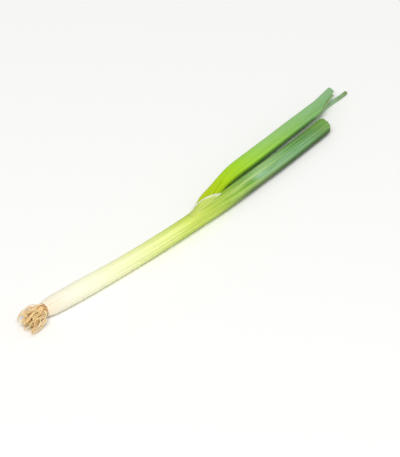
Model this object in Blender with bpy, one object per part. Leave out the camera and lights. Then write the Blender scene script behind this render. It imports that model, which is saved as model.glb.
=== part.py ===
"""A spring onion lying on a table, roots towards -X and cut leaf ends towards +X.

It is an assembly of the pieces that the plant has: a tuft of separate roots, the root plate that
they and the leaves grow from, the outer leaf (a white sheath that turns into a tubular blade), and
the inner and the young leaf, which come out of the mouth of the outer leaf's sheath.
Metres, +Z up. The origin is the middle of the overall footprint, on the table.
"""

import math
import random

import bmesh
import bpy
from mathutils import Vector

# Overall sizes
SHAFT_LENGTH = 0.176  # root plate to the middle of the sheath's mouth
OUTER_BLADE_LENGTH = 0.132  # mouth to cut end
INNER_BLADE_LENGTH = 0.165  # mouth to the longer side of its slanting cut
YOUNG_BLADE_LENGTH = 0.1785
BOW = 0.0080  # how far the onion's axis bows sideways, towards -Y
BLADE_ASIDE = 0.0012  # how far the outer blade then swings back, towards +Y

# The outer leaf's sheath, which is the white shaft
SHAFT_DIAMETER = 0.0131
BULB_DIAMETER = 0.0145
BASE_DIAMETER = 0.0114
BULB_AT = 0.030
BULB_SPREAD = 0.034
BASE_ROUNDING = 0.012
CONTACT_PRESS = 0.00015  # how far the soft flesh flattens on the table

# The blades
OUTER_BLADE_WIDTH = 0.0150
OUTER_BLADE_HEIGHT = 0.0106
INNER_BLADE_WIDTH = 0.0120
INNER_BLADE_HEIGHT = 0.0056
INNER_BLADE_LIFT = 0.0052  # height of the inner blade's middle over the outer blade's
INNER_CUT_SLANT = 0.0125  # half the difference between the cut's long and short side
INNER_CUT_BLEND = 0.045  # length over which the sections turn from square to that slant
INNER_MOUTH_WIDTH = 0.0098  # the inner leaf's section in the mouth
INNER_MOUTH_HEIGHT = 0.0066
SHEATH_WALL = 0.00325  # round the inner leaf's lower end, its stem
STEM_FLATNESS = 0.82  # the stem's height over its width
YOUNG_BLADE_DIAMETER = 0.0034
LEAF_WALL = 0.0009
BORE_START = 0.030  # from the mouth to where the blades turn hollow
BORE_TAPER = 0.45  # of the blade's section, at the closed end of its bore

# The mouth of the sheath, a cup with a thin slanting lip
MOUTH_DEPTH = 0.022
MOUTH_SLANT = 0.012  # half the difference between the lip's long and short side
MOUTH_BLEND = 0.004  # how far the cup's wall runs past its depth and its lip
LIP_WALL = 0.0007

# Root plate and roots
PLATE_THICKNESS = 0.0030
ROOT_COUNT = 28
ROOT_DIAMETER = 0.0011
ROOT_TIP_SHARE = 0.6  # of the root's diameter, at its cut tip
ROOT_LENGTH = 0.019
SHORTEST_ROOT = 0.62  # of ROOT_LENGTH
TUFT_BEND = 0.0045  # how far the tuft's end swings towards -Y
TUFT_HALF_WIDTH = 0.0090  # of the tuft's end
TUFT_HALF_HEIGHT = 0.0054
ROOT_WAVE = 0.0011  # how far each root waves from side to side

GAP = 0.0003  # left between pieces that touch

LEAF_SIDES = 24
YOUNG_SIDES = 12
ROOT_SIDES = 6
ROOT_RINGS = 13

AXIS_LENGTH = SHAFT_LENGTH + OUTER_BLADE_LENGTH
INNER_STEM_WIDTH = SHAFT_DIAMETER - 2 * SHEATH_WALL
INNER_STEM_HEIGHT = INNER_STEM_WIDTH * STEM_FLATNESS
INNER_STEM_ASIDE = INNER_STEM_WIDTH / 6  # from the onion's axis
BLADES_APART = (OUTER_BLADE_WIDTH + INNER_BLADE_WIDTH) / 2  # side by side, middle to middle
GOLDEN_ANGLE = math.pi * (3 - math.sqrt(5))

WHITE_FLESH = (0.90, 0.92, 0.78)
LIGHT_GREEN = (0.46, 0.66, 0.22)
MID_GREEN = (0.22, 0.46, 0.16)
STRAW = (0.78, 0.58, 0.33)
BROWN = (0.45, 0.27, 0.12)


def clear_scene():
    for obj in list(bpy.data.objects):
        bpy.data.objects.remove(obj)


def material(name, colour, roughness):
    made = bpy.data.materials.new(name)
    made.use_nodes = True
    shader = made.node_tree.nodes["Principled BSDF"]
    shader.inputs["Base Color"].default_value = (*colour, 1.0)
    shader.inputs["Roughness"].default_value = roughness
    shader.inputs["Metallic"].default_value = 0.0
    return made


def ease(x, low, high):
    """0 below low, 1 above high, and a smooth step in between."""
    t = min(1.0, max(0.0, (x - low) / (high - low)))
    return t * t * (3 - 2 * t)


def through(stops, x):
    """A value read from (place, value) stops, along a smooth curve through them."""
    places = [place for place, _ in stops]
    values = [value for _, value in stops]
    if x <= places[0]:
        return values[0]
    if x >= places[-1]:
        return values[-1]
    i = max(k for k in range(len(places) - 1) if places[k] <= x)

    def slope(k):
        if k in (0, len(places) - 1):
            return 0.0
        before = (values[k] - values[k - 1]) / (places[k] - places[k - 1])
        after = (values[k + 1] - values[k]) / (places[k + 1] - places[k])
        return 0.0 if before * after <= 0 else 2 * before * after / (before + after)

    width = places[i + 1] - places[i]
    t = (x - places[i]) / width
    return (
        values[i] * (1 + 2 * t) * (1 - t) ** 2
        + slope(i) * width * t * (1 - t) ** 2
        + values[i + 1] * t * t * (3 - 2 * t)
        + slope(i + 1) * width * t * t * (t - 1)
    )


def steps(start, stop, count):
    return [start + (stop - start) * k / (count - 1) for k in range(count)]


class Station:
    """One cross-section of a leaf or a root: an ellipse across its path, rolled about it.

    slant moves its points along the path, by the share that cut gives for their angle.
    """

    def __init__(self, centre, tangent, half_width, half_height, roll=0.0, slant=0.0, cut=math.cos):
        self.centre = Vector(centre)
        self.tangent = Vector(tangent).normalized()
        self.half_width = half_width
        self.half_height = half_height
        self.roll = roll
        self.slant = slant
        self.cut = cut

    def ring(self, sides, grow=0.0, lowest=0.0):
        """Points round the section, none below lowest.

        It starts half a step round, so that a flat lies below.
        """
        side = Vector((0, 0, 1)).cross(self.tangent).normalized()
        up = self.tangent.cross(side)
        width = side * math.cos(self.roll) + up * math.sin(self.roll)
        height = up * math.cos(self.roll) - side * math.sin(self.roll)
        points = []
        for k in range(sides):
            angle = 2 * math.pi * (k + 0.5) / sides
            point = (
                self.centre
                + width * ((self.half_width + grow) * math.cos(angle))
                + height * ((self.half_height + grow) * math.sin(angle))
                + self.tangent * (self.slant * self.cut(angle))
            )
            point.z = max(point.z, lowest)
            points.append(point)
        return points


def stations_along(path, places, width, height, roll=None, slant=None, cut=math.cos):
    """Stations at these places of a path, with the tangent taken from the path itself."""
    reach = 0.0005
    made = []
    for x in places:
        tangent = path(x + reach) - path(x - reach)
        made.append(
            Station(
                path(x),
                tangent,
                width(x) / 2,
                height(x) / 2,
                roll(x) if roll else 0.0,
                slant(x) if slant else 0.0,
                cut,
            )
        )
    return made


def solid_from_rings(name, rings, look=None):
    """A closed solid skinned over rings of equal count, with a flat cap at each end."""
    mesh = bmesh.new()
    rows = [[mesh.verts.new(point) for point in ring] for ring in rings]
    sides = len(rows[0])
    for near, far in zip(rows, rows[1:]):
        for k in range(sides):
            after = (k + 1) % sides
            mesh.faces.new((near[k], near[after], far[after], far[k]))
    mesh.faces.new(reversed(rows[0]))
    mesh.faces.new(rows[-1])
    bmesh.ops.recalc_face_normals(mesh, faces=mesh.faces)
    data = bpy.data.meshes.new(name)
    mesh.to_mesh(data)
    mesh.free()
    data.shade_smooth()
    data.set_sharp_from_angle(angle=math.radians(40))
    obj = bpy.data.objects.new(name, data)
    bpy.context.scene.collection.objects.link(obj)
    if look:
        data.materials.append(look)
    return obj


def as_cutter(obj):
    obj.hide_render = True
    obj.display_type = "WIRE"
    return obj


def combine(target, other, operation):
    as_cutter(other)
    modifier = target.modifiers.new(other.name, "BOOLEAN")
    modifier.operation = operation
    modifier.solver = "EXACT"
    modifier.object = other


# The outer leaf: a sheath round the whole shaft, then a tubular blade


def shaft_diameter(x):
    swell = (BULB_DIAMETER - SHAFT_DIAMETER) * math.exp(-(((x - BULB_AT) / BULB_SPREAD) ** 2))
    rounding = max(0.0, 1 - x / BASE_ROUNDING) ** 2
    full = SHAFT_DIAMETER + swell
    return full + (BASE_DIAMETER - full) * rounding


def to_blade(x):
    """0 on the shaft and 1 on the blade, which begins inside the sheath's mouth."""
    return ease(x, SHAFT_LENGTH - MOUTH_DEPTH, SHAFT_LENGTH + MOUTH_DEPTH)


def outer_width(x):
    blade = OUTER_BLADE_WIDTH * (1 - 0.07 * ease(x, SHAFT_LENGTH + MOUTH_DEPTH, AXIS_LENGTH))
    return shaft_diameter(x) + (blade - shaft_diameter(x)) * to_blade(x)


def outer_height(x):
    blade = OUTER_BLADE_HEIGHT * (1 - 0.13 * ease(x, SHAFT_LENGTH + MOUTH_DEPTH, AXIS_LENGTH))
    return shaft_diameter(x) + (blade - shaft_diameter(x)) * to_blade(x)


def outer_axis(x):
    """The onion's axis: a bow in plan, a swing aside for the blade, and a level, rounded bulb."""
    u = x / AXIS_LENGTH
    resting = max(x, BULB_AT)
    aside = BLADE_ASIDE * ease(x, SHAFT_LENGTH - MOUTH_DEPTH, SHAFT_LENGTH + 2 * MOUTH_DEPTH)
    return Vector((x, aside - 4 * BOW * u * (1 - u), outer_height(resting) / 2 - CONTACT_PRESS))


def outer_bore():
    """The space inside the blade, open at the cut end."""
    places = steps(SHAFT_LENGTH + BORE_START, AXIS_LENGTH, 14)
    closing = stations_along(outer_axis, places, outer_width, outer_height)
    closing[0].half_width *= BORE_TAPER
    closing[0].half_height *= BORE_TAPER
    beyond = outer_axis(AXIS_LENGTH + LEAF_WALL)
    closing.append(Station(beyond, closing[-1].tangent, closing[-1].half_width, closing[-1].half_height))
    rings = [station.ring(LEAF_SIDES, -LEAF_WALL, lowest=LEAF_WALL) for station in closing]
    return solid_from_rings("outer_blade_bore", rings)


# The inner leaf: it rises out of the mouth and lies beside the outer blade, a little higher


def beside(share, lift, x):
    """A point off the axis: this share of the two blades' half widths to the left, and lifted."""
    return outer_axis(x) + Vector((0, share * BLADES_APART, lift * INNER_BLADE_LIFT))


def from_mouth(x):
    """How far past the mouth a place lies, as a share of the inner blade's length."""
    return (x - SHAFT_LENGTH) / INNER_BLADE_LENGTH


def inner_path(x):
    share = through(
        [(-0.14, INNER_STEM_ASIDE / BLADES_APART), (-0.07, 0.36), (0.0, 0.63), (0.07, 0.77)]
        + [(0.145, 0.905), (0.24, 1.01), (0.32, 1.035), (0.54, 1.055), (0.82, 1.065), (1.0, 1.20)],
        from_mouth(x),
    )
    lift = through(
        [(-0.14, 0.22), (-0.05, 0.30), (0.03, 0.52), (0.18, 0.95), (0.32, 1.0)]
        + [(0.56, 1.0), (0.77, 0.85), (1.0, 0.62)],
        from_mouth(x),
    )
    return beside(share, lift, x)


def inner_width(x):
    return through(
        [(-0.14, INNER_STEM_WIDTH), (0.0, INNER_MOUTH_WIDTH), (0.12, INNER_BLADE_WIDTH * 0.80)]
        + [(0.24, INNER_BLADE_WIDTH * 0.93), (0.34, INNER_BLADE_WIDTH), (0.75, INNER_BLADE_WIDTH)]
        + [(1.0, INNER_BLADE_WIDTH * 0.9)],
        from_mouth(x),
    )


def inner_height(x):
    return through(
        [(-0.14, INNER_STEM_HEIGHT), (0.0, INNER_MOUTH_HEIGHT), (0.14, INNER_MOUTH_HEIGHT)]
        + [(0.32, INNER_BLADE_HEIGHT)]
        + [(0.75, INNER_BLADE_HEIGHT), (1.0, INNER_BLADE_HEIGHT * 0.86)],
        from_mouth(x),
    )


def inner_roll(x):
    degrees = through([(-0.12, 34), (0.06, 34), (0.32, 16), (0.7, 12), (1.0, 5)], from_mouth(x))
    return math.radians(degrees)


def inner_cut(angle):
    """The end is cut square over the blade's far half and runs back over its near half."""
    return 1 - 2 * ease(-math.cos(angle), 0.0, 1.0)


def inner_stations():
    start = SHAFT_LENGTH - MOUTH_DEPTH + 2 * GAP
    end = SHAFT_LENGTH + INNER_BLADE_LENGTH - INNER_CUT_SLANT
    slant = lambda x: INNER_CUT_SLANT * ease(x, end - INNER_CUT_BLEND, end)
    places = steps(start, end, 34)
    return stations_along(
        inner_path, places, inner_width, inner_height, inner_roll, slant, inner_cut
    )


def inner_leaf(look):
    """Solid where the sheath holds it, then a flattened tube that is open at its cut end."""
    stations = inner_stations()
    outside = [station.ring(LEAF_SIDES) for station in stations]
    first_hollow = next(
        k for k, station in enumerate(stations) if station.centre.x > SHAFT_LENGTH + BORE_START
    )
    inside = [station.ring(LEAF_SIDES, grow=-LEAF_WALL) for station in stations[first_hollow:]]
    floor = Station(
        stations[first_hollow].centre - stations[first_hollow].tangent * (2 * LEAF_WALL),
        stations[first_hollow].tangent,
        stations[first_hollow].half_width * BORE_TAPER,
        stations[first_hollow].half_height * BORE_TAPER,
        stations[first_hollow].roll,
    ).ring(LEAF_SIDES)
    return solid_from_rings("inner_leaf", outside + inside[::-1] + [floor], look)


# The young leaf: thin and round, against the inner leaf in the sheath and then down on the table


def young_diameter(x):
    at_tip = SHAFT_LENGTH + YOUNG_BLADE_LENGTH
    return YOUNG_BLADE_DIAMETER * through(
        [(SHAFT_LENGTH - MOUTH_DEPTH, 0.65), (SHAFT_LENGTH, 0.82), (SHAFT_LENGTH * 1.2, 1.0)]
        + [(at_tip, 0.84)],
        x,
    )


def young_path(x):
    """Under the rolled inner leaf's flat side as far as the mouth, and on the table further on."""
    inner = inner_path(min(x, SHAFT_LENGTH + INNER_BLADE_LENGTH))
    apart = inner_height(x) / 2 + young_diameter(x) / 2 + 2 * GAP
    held = inner + Vector((0, math.sin(inner_roll(x)), -math.cos(inner_roll(x)))) * apart
    left = through(
        [(0.03, 0.80), (0.22, 0.93), (0.40, 1.0), (0.65, 1.13), (0.85, 1.12), (1.0, 0.98)],
        (x - SHAFT_LENGTH) / YOUNG_BLADE_LENGTH,
    )
    aside = outer_axis(x).y + left * BLADES_APART
    lying = Vector((x, aside, young_diameter(x) / 2 - CONTACT_PRESS))
    path = held.lerp(lying, ease(x, SHAFT_LENGTH, SHAFT_LENGTH + 0.045))
    return Vector((x, path.y, path.z))


def young_stations():
    places = steps(SHAFT_LENGTH - MOUTH_DEPTH + 4 * GAP, SHAFT_LENGTH + YOUNG_BLADE_LENGTH, 30)
    return stations_along(young_path, places, young_diameter, young_diameter)


def young_leaf(look):
    return solid_from_rings("young_leaf", [s.ring(YOUNG_SIDES) for s in young_stations()], look)


# The mouth of the sheath: a thin-walled cup round the two leaves, with a slanting lip


def cup_section(x):
    """Middle and half sizes of the ellipse that holds the inner and the young leaf with a gap."""
    held = stations_along(inner_path, [x], inner_width, inner_height, inner_roll)[0].ring(LEAF_SIDES)
    held += stations_along(young_path, [x], young_diameter, young_diameter)[0].ring(YOUNG_SIDES)
    low_y, high_y = min(p.y for p in held), max(p.y for p in held)
    low_z, high_z = min(p.z for p in held), max(p.z for p in held)
    middle = Vector((x, (low_y + high_y) / 2, (low_z + high_z) / 2))
    across, up = (high_y - low_y) / 2, (high_z - low_z) / 2
    reach = max(math.hypot((p.y - middle.y) / across, (p.z - middle.z) / up) for p in held)
    return middle, across * reach + 2 * GAP, up * reach + 2 * GAP


def cup_sleeve(name, places, grow, lowest=0.0):
    """A closed sleeve over the cup's sections. grow gives how far it stands outside them."""
    rings = []
    for x in places:
        middle, half_width, half_height = cup_section(x)
        slant = -MOUTH_SLANT * ease(x, SHAFT_LENGTH - MOUTH_DEPTH, SHAFT_LENGTH)
        section = Station(middle, (1, 0, 0), half_width, half_height, slant=slant)
        rings.append(section.ring(LEAF_SIDES, grow(x), lowest))
    return solid_from_rings(name, rings)


def outer_leaf(look):
    places = (
        [BASE_ROUNDING * k / 4 for k in range(4)]
        + steps(BASE_ROUNDING, SHAFT_LENGTH, 17)
        + steps(SHAFT_LENGTH, AXIS_LENGTH, 17)[1:]
    )
    stations = stations_along(outer_axis, places, outer_width, outer_height)
    leaf = solid_from_rings("outer_leaf", [s.ring(LEAF_SIDES) for s in stations], look)
    start = SHAFT_LENGTH - MOUTH_DEPTH
    low, high = start - MOUTH_BLEND, SHAFT_LENGTH + MOUTH_BLEND
    swelling = lambda x: LIP_WALL - 3 * LIP_WALL * (1 - ease(x, low, start + MOUTH_BLEND))
    wall = cup_sleeve("cup_wall", steps(low, high, 10), swelling, lowest=GAP)
    places = steps(start, SHAFT_LENGTH + BORE_START, 12)
    space = cup_sleeve("cup_space", places, lambda x: 0.0, lowest=-LIP_WALL)
    combine(leaf, wall, "UNION")
    combine(leaf, space, "DIFFERENCE")
    combine(leaf, outer_bore(), "DIFFERENCE")
    return leaf


# The root plate and its roots


def base_frame():
    """The sheath's base: its middle, then the directions back along the axis, left and up."""
    forward = (outer_axis(0.0005) - outer_axis(-0.0005)).normalized()
    left = Vector((0, 0, 1)).cross(forward).normalized()
    return outer_axis(0) - forward * GAP, -forward, left, forward.cross(left)


def from_base(back, across, up):
    """A point given in the base's own frame."""
    middle, behind, left, upward = base_frame()
    return middle + behind * back + left * across + upward * up


def plate_radius():
    return BASE_DIAMETER / 2 - GAP


def root_plate(look):
    """Half a flattened ball, its flat side against the sheath's base."""
    rings = []
    for degrees in (0, 18, 36, 54, 70, 82):
        angle = math.radians(degrees)
        radius = plate_radius() * math.cos(angle)
        centre = from_base(PLATE_THICKNESS * math.sin(angle), 0, 0)
        rings.append(Station(centre, base_frame()[1], radius, radius).ring(LEAF_SIDES))
    return solid_from_rings("root_plate", rings, look)


def bezier(points, t):
    a, b, c, d = points
    return a * (1 - t) ** 3 + b * 3 * t * (1 - t) ** 2 + c * 3 * t * t * (1 - t) + d * t**3


def root(name, across, up, length, look):
    """One root. across and up say where it grows on the plate, each as a share of its radius."""
    radius = plate_radius()
    depth = math.sqrt(1 - across**2 - up**2)
    foot = from_base(depth * PLATE_THICKNESS, across * radius, up * radius)
    _, behind, left, upward = base_frame()
    outward = behind * (depth / PLATE_THICKNESS) + left * (across / radius) + upward * (up / radius)
    outward.normalize()
    start = foot + outward * GAP
    swing_share = length / ROOT_LENGTH
    tip = from_base(
        PLATE_THICKNESS + length,
        -TUFT_BEND * swing_share**2 + across * TUFT_HALF_WIDTH,
        (up - 0.25) * TUFT_HALF_HEIGHT,
    )
    tip.z = max(tip.z, ROOT_DIAMETER / 2)
    handles = (
        start,
        start + outward * (0.10 * length),
        tip + Vector((0.42 * length, TUFT_BEND * 0.7, 0.0002)),
        tip,
    )

    def path(t):
        swing = ease(t, 0.1, 0.7) * ROOT_WAVE
        phase = 1.6 * across + 1.2 * up
        return bezier(handles, t) + Vector(
            (0, swing * math.sin(7.5 * t + phase), 0.35 * swing * math.sin(9 * t + phase))
        )

    size = lambda t: ROOT_DIAMETER * (1 - (1 - ROOT_TIP_SHARE) * t)
    reach = 0.01
    stations = [
        Station(path(t), path(t + reach) - path(t - reach), size(t) / 2, size(t) / 2)
        for t in steps(0, 1, ROOT_RINGS)
    ]
    return solid_from_rings(name, [station.ring(ROOT_SIDES) for station in stations], look)


def root_tuft(look):
    """Roots spread evenly over the plate, like the seeds of a sunflower."""
    lengths = random.Random(5)
    outermost = 0.84
    made = []
    for k in range(ROOT_COUNT):
        distance = outermost * math.sqrt((k + 0.5) / ROOT_COUNT)
        angle = k * GOLDEN_ANGLE
        length = ROOT_LENGTH * lengths.uniform(SHORTEST_ROOT, 1.0)
        across = distance * math.cos(angle)
        up = distance * math.sin(angle)
        made.append(root(f"root_{k + 1:02d}", across, up, length, look))
    return made


def stand_on_origin(pieces):
    """Moves the whole onion so that the middle of its footprint is at the origin."""
    bpy.context.view_layer.update()
    graph = bpy.context.evaluated_depsgraph_get()
    corners = [
        Vector(corner)
        for piece in pieces
        for corner in piece.evaluated_get(graph).bound_box
    ]
    low = [min(corner[axis] for corner in corners) for axis in range(3)]
    high = [max(corner[axis] for corner in corners) for axis in range(3)]
    onion = bpy.data.objects.new("spring_onion", None)
    bpy.context.scene.collection.objects.link(onion)
    for obj in bpy.data.objects:
        if obj.type == "MESH":
            obj.parent = onion
    onion.location = (-(low[0] + high[0]) / 2, -(low[1] + high[1]) / 2, -low[2])


def main():
    clear_scene()
    flesh = material("white_flesh", WHITE_FLESH, 0.45)
    light_leaf = material("light_leaf", LIGHT_GREEN, 0.55)
    dark_leaf = material("dark_leaf", MID_GREEN, 0.5)
    plate_skin = material("root_plate_skin", BROWN, 0.9)
    root_skin = material("root_skin", STRAW, 0.85)
    pieces = [
        outer_leaf(flesh),
        inner_leaf(light_leaf),
        young_leaf(dark_leaf),
        root_plate(plate_skin),
        *root_tuft(root_skin),
    ]
    stand_on_origin(pieces)


main()
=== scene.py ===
"""The looks of a spring onion lying on a pale table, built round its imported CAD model."""

import math
import random

import bmesh
import bpy
import numpy as np
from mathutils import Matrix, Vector, noise


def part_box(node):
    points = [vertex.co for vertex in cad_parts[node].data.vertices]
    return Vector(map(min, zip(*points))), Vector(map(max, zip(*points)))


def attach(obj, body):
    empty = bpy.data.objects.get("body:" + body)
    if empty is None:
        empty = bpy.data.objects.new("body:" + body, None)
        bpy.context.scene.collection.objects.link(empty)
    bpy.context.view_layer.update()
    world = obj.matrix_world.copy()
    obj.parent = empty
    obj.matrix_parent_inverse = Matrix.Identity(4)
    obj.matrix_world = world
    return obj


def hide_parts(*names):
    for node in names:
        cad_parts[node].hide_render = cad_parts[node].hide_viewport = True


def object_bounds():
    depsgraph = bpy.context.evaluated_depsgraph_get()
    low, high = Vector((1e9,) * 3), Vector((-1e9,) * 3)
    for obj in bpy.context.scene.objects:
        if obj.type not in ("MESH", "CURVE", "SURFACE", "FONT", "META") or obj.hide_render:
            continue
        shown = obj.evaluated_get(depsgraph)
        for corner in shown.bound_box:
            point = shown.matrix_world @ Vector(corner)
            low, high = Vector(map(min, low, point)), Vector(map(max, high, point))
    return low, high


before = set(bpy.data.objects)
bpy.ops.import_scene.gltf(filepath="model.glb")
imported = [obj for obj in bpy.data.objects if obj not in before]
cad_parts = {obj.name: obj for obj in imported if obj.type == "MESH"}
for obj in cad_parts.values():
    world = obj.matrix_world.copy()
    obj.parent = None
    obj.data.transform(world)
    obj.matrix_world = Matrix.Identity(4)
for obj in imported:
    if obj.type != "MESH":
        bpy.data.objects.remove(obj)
CAD_LO, CAD_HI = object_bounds()

# Sizes of the CAD model, in metres
SHAFT_LENGTH = 0.176
OUTER_BLADE_LENGTH = 0.132
INNER_BLADE_LENGTH = 0.165
YOUNG_BLADE_LENGTH = 0.1785
BOW = 0.0080
BLADE_ASIDE = 0.0012
SHAFT_DIAMETER = 0.0131
BULB_DIAMETER = 0.0145
BASE_DIAMETER = 0.0114
BULB_AT = 0.030
BULB_SPREAD = 0.034
BASE_ROUNDING = 0.012
CONTACT_PRESS = 0.00015
OUTER_BLADE_WIDTH = 0.0150
OUTER_BLADE_HEIGHT = 0.0106
INNER_BLADE_WIDTH = 0.0120
INNER_BLADE_HEIGHT = 0.0056
INNER_BLADE_LIFT = 0.0052
INNER_CUT_SLANT = 0.0125
INNER_CUT_BLEND = 0.045
INNER_MOUTH_WIDTH = 0.0098
INNER_MOUTH_HEIGHT = 0.0066
SHEATH_WALL = 0.00325
STEM_FLATNESS = 0.82
OUTER_CUT_SLANT = 0.0021
YOUNG_BLADE_DIAMETER = 0.0034
MOUTH_DEPTH = 0.022
PLATE_THICKNESS = 0.0030
ROOT_COUNT = 28
ROOT_DIAMETER = 0.0011
ROOT_LENGTH = 0.019
TUFT_BEND = 0.0045
TUFT_HALF_WIDTH = 0.0090
TUFT_HALF_HEIGHT = 0.0054
GAP = 0.0003

# Sides of a leaf, in degrees round it: the one that shows most, and the two at its outline
CAMERA_SIDE = 132
FAR_SIDE = 42
NEAR_SIDE = 222

AXIS_LENGTH = SHAFT_LENGTH + OUTER_BLADE_LENGTH
INNER_STEM_WIDTH = SHAFT_DIAMETER - 2 * SHEATH_WALL
INNER_STEM_HEIGHT = INNER_STEM_WIDTH * STEM_FLATNESS
INNER_STEM_ASIDE = INNER_STEM_WIDTH / 6  # from the onion's axis
BLADES_APART = (OUTER_BLADE_WIDTH + INNER_BLADE_WIDTH) / 2  # side by side, middle to middle
GOLDEN_ANGLE = math.pi * (3 - math.sqrt(5))
MM = 0.001


# Curves


def ease(x, low, high):
    t = min(1.0, max(0.0, (x - low) / (high - low)))
    return t * t * (3 - 2 * t)


def through(stops, x):
    """A value read from (place, value) stops, along a smooth curve through them."""
    places = [place for place, _ in stops]
    values = [value for _, value in stops]
    if x <= places[0]:
        return values[0]
    if x >= places[-1]:
        return values[-1]
    i = max(k for k in range(len(places) - 1) if places[k] <= x)

    def slope(k):
        if k in (0, len(places) - 1):
            return 0.0
        before = (values[k] - values[k - 1]) / (places[k] - places[k - 1])
        after = (values[k + 1] - values[k]) / (places[k + 1] - places[k])
        return 0.0 if before * after <= 0 else 2 * before * after / (before + after)

    width = places[i + 1] - places[i]
    t = (x - places[i]) / width
    return (
        values[i] * (1 + 2 * t) * (1 - t) ** 2
        + slope(i) * width * t * (1 - t) ** 2
        + values[i + 1] * t * t * (3 - 2 * t)
        + slope(i + 1) * width * t * t * (t - 1)
    )


def steps(start, stop, count):
    return [start + (stop - start) * k / (count - 1) for k in range(count)]


def wobble(x, y, z, seed=0.0):
    """Smooth noise about zero; coordinates in whatever unit sets its grain to one."""
    return noise.noise(Vector((x + seed * 17.3, y - seed * 9.1, z + seed * 5.7)))


# The CAD model's paths and sections, in the onion's own coordinates


def shaft_diameter(x):
    swell = (BULB_DIAMETER - SHAFT_DIAMETER) * math.exp(-(((x - BULB_AT) / BULB_SPREAD) ** 2))
    rounding = max(0.0, 1 - x / BASE_ROUNDING) ** 2
    full = SHAFT_DIAMETER + swell
    return full + (BASE_DIAMETER - full) * rounding


def to_blade(x):
    return ease(x, SHAFT_LENGTH - MOUTH_DEPTH, SHAFT_LENGTH + MOUTH_DEPTH)


def outer_width(x):
    blade = OUTER_BLADE_WIDTH * (1 - 0.07 * ease(x, SHAFT_LENGTH + MOUTH_DEPTH, AXIS_LENGTH))
    return shaft_diameter(x) + (blade - shaft_diameter(x)) * to_blade(x)


def outer_height(x):
    blade = OUTER_BLADE_HEIGHT * (1 - 0.13 * ease(x, SHAFT_LENGTH + MOUTH_DEPTH, AXIS_LENGTH))
    return shaft_diameter(x) + (blade - shaft_diameter(x)) * to_blade(x)


def outer_axis(x):
    u = x / AXIS_LENGTH
    resting = max(x, BULB_AT)
    aside = BLADE_ASIDE * ease(x, SHAFT_LENGTH - MOUTH_DEPTH, SHAFT_LENGTH + 2 * MOUTH_DEPTH)
    return Vector((x, aside - 4 * BOW * u * (1 - u), outer_height(resting) / 2 - CONTACT_PRESS))


def from_mouth(x):
    return (x - SHAFT_LENGTH) / INNER_BLADE_LENGTH


def inner_path(x):
    share = through(
        [(-0.14, INNER_STEM_ASIDE / BLADES_APART), (-0.07, 0.36), (0.0, 0.63), (0.07, 0.77)]
        + [(0.145, 0.905), (0.24, 1.01), (0.32, 1.035), (0.54, 1.055), (0.82, 1.065), (1.0, 1.20)],
        from_mouth(x),
    )
    lift = through(
        [(-0.14, 0.22), (-0.05, 0.30), (0.03, 0.52), (0.18, 0.95), (0.32, 1.0)]
        + [(0.56, 1.0), (0.77, 0.85), (1.0, 0.62)],
        from_mouth(x),
    )
    return outer_axis(x) + Vector((0, share * BLADES_APART, lift * INNER_BLADE_LIFT))


def inner_width(x):
    return through(
        [(-0.14, INNER_STEM_WIDTH), (0.0, INNER_MOUTH_WIDTH), (0.12, INNER_BLADE_WIDTH * 0.80)]
        + [(0.24, INNER_BLADE_WIDTH * 0.93), (0.34, INNER_BLADE_WIDTH), (0.75, INNER_BLADE_WIDTH)]
        + [(1.0, INNER_BLADE_WIDTH * 0.9)],
        from_mouth(x),
    )


def inner_height(x):
    return through(
        [(-0.14, INNER_STEM_HEIGHT), (0.0, INNER_MOUTH_HEIGHT), (0.14, INNER_MOUTH_HEIGHT)]
        + [(0.32, INNER_BLADE_HEIGHT)]
        + [(0.75, INNER_BLADE_HEIGHT), (1.0, INNER_BLADE_HEIGHT * 0.86)],
        from_mouth(x),
    )


def inner_roll(x):
    degrees = through([(-0.12, 34), (0.06, 34), (0.32, 16), (0.7, 12), (1.0, 5)], from_mouth(x))
    return math.radians(degrees)


def young_diameter(x):
    at_tip = SHAFT_LENGTH + YOUNG_BLADE_LENGTH
    return YOUNG_BLADE_DIAMETER * through(
        [(SHAFT_LENGTH - MOUTH_DEPTH, 0.65), (SHAFT_LENGTH, 0.82), (SHAFT_LENGTH * 1.2, 1.0)]
        + [(at_tip, 0.84)],
        x,
    )


def young_path(x):
    inner = inner_path(min(x, SHAFT_LENGTH + INNER_BLADE_LENGTH))
    apart = inner_height(x) / 2 + young_diameter(x) / 2 + 2 * GAP
    held = inner + Vector((0, math.sin(inner_roll(x)), -math.cos(inner_roll(x)))) * apart
    left = through(
        [(0.03, 0.80), (0.22, 0.93), (0.40, 1.0), (0.65, 1.13), (0.85, 1.12), (1.0, 0.98)],
        (x - SHAFT_LENGTH) / YOUNG_BLADE_LENGTH,
    )
    aside = outer_axis(x).y + left * BLADES_APART
    lying = Vector((x, aside, young_diameter(x) / 2 - CONTACT_PRESS))
    path = held.lerp(lying, ease(x, SHAFT_LENGTH, SHAFT_LENGTH + 0.045))
    return Vector((x, path.y, path.z))


def cup_section(x):
    """Middle and half sizes of the ellipse round the inner and the young leaf, in the mouth."""
    held = []
    for path, width, height, roll in (
        (inner_path(x), inner_width(x), inner_height(x), inner_roll(x)),
        (young_path(x), young_diameter(x), young_diameter(x), 0.0),
    ):
        for k in range(24):
            angle = 2 * math.pi * k / 24
            across = width / 2 * math.cos(angle)
            up = height / 2 * math.sin(angle)
            y = path.y + across * math.cos(roll) - up * math.sin(roll)
            held.append((y, path.z + across * math.sin(roll) + up * math.cos(roll)))
    low_y, high_y = min(y for y, _ in held), max(y for y, _ in held)
    low_z, high_z = min(z for _, z in held), max(z for _, z in held)
    middle = ((low_y + high_y) / 2, (low_z + high_z) / 2)
    across, up = (high_y - low_y) / 2, (high_z - low_z) / 2
    reach = max(math.hypot((y - middle[0]) / across, (z - middle[1]) / up) for y, z in held)
    return middle, across * reach + 2 * GAP, up * reach + 2 * GAP


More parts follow.
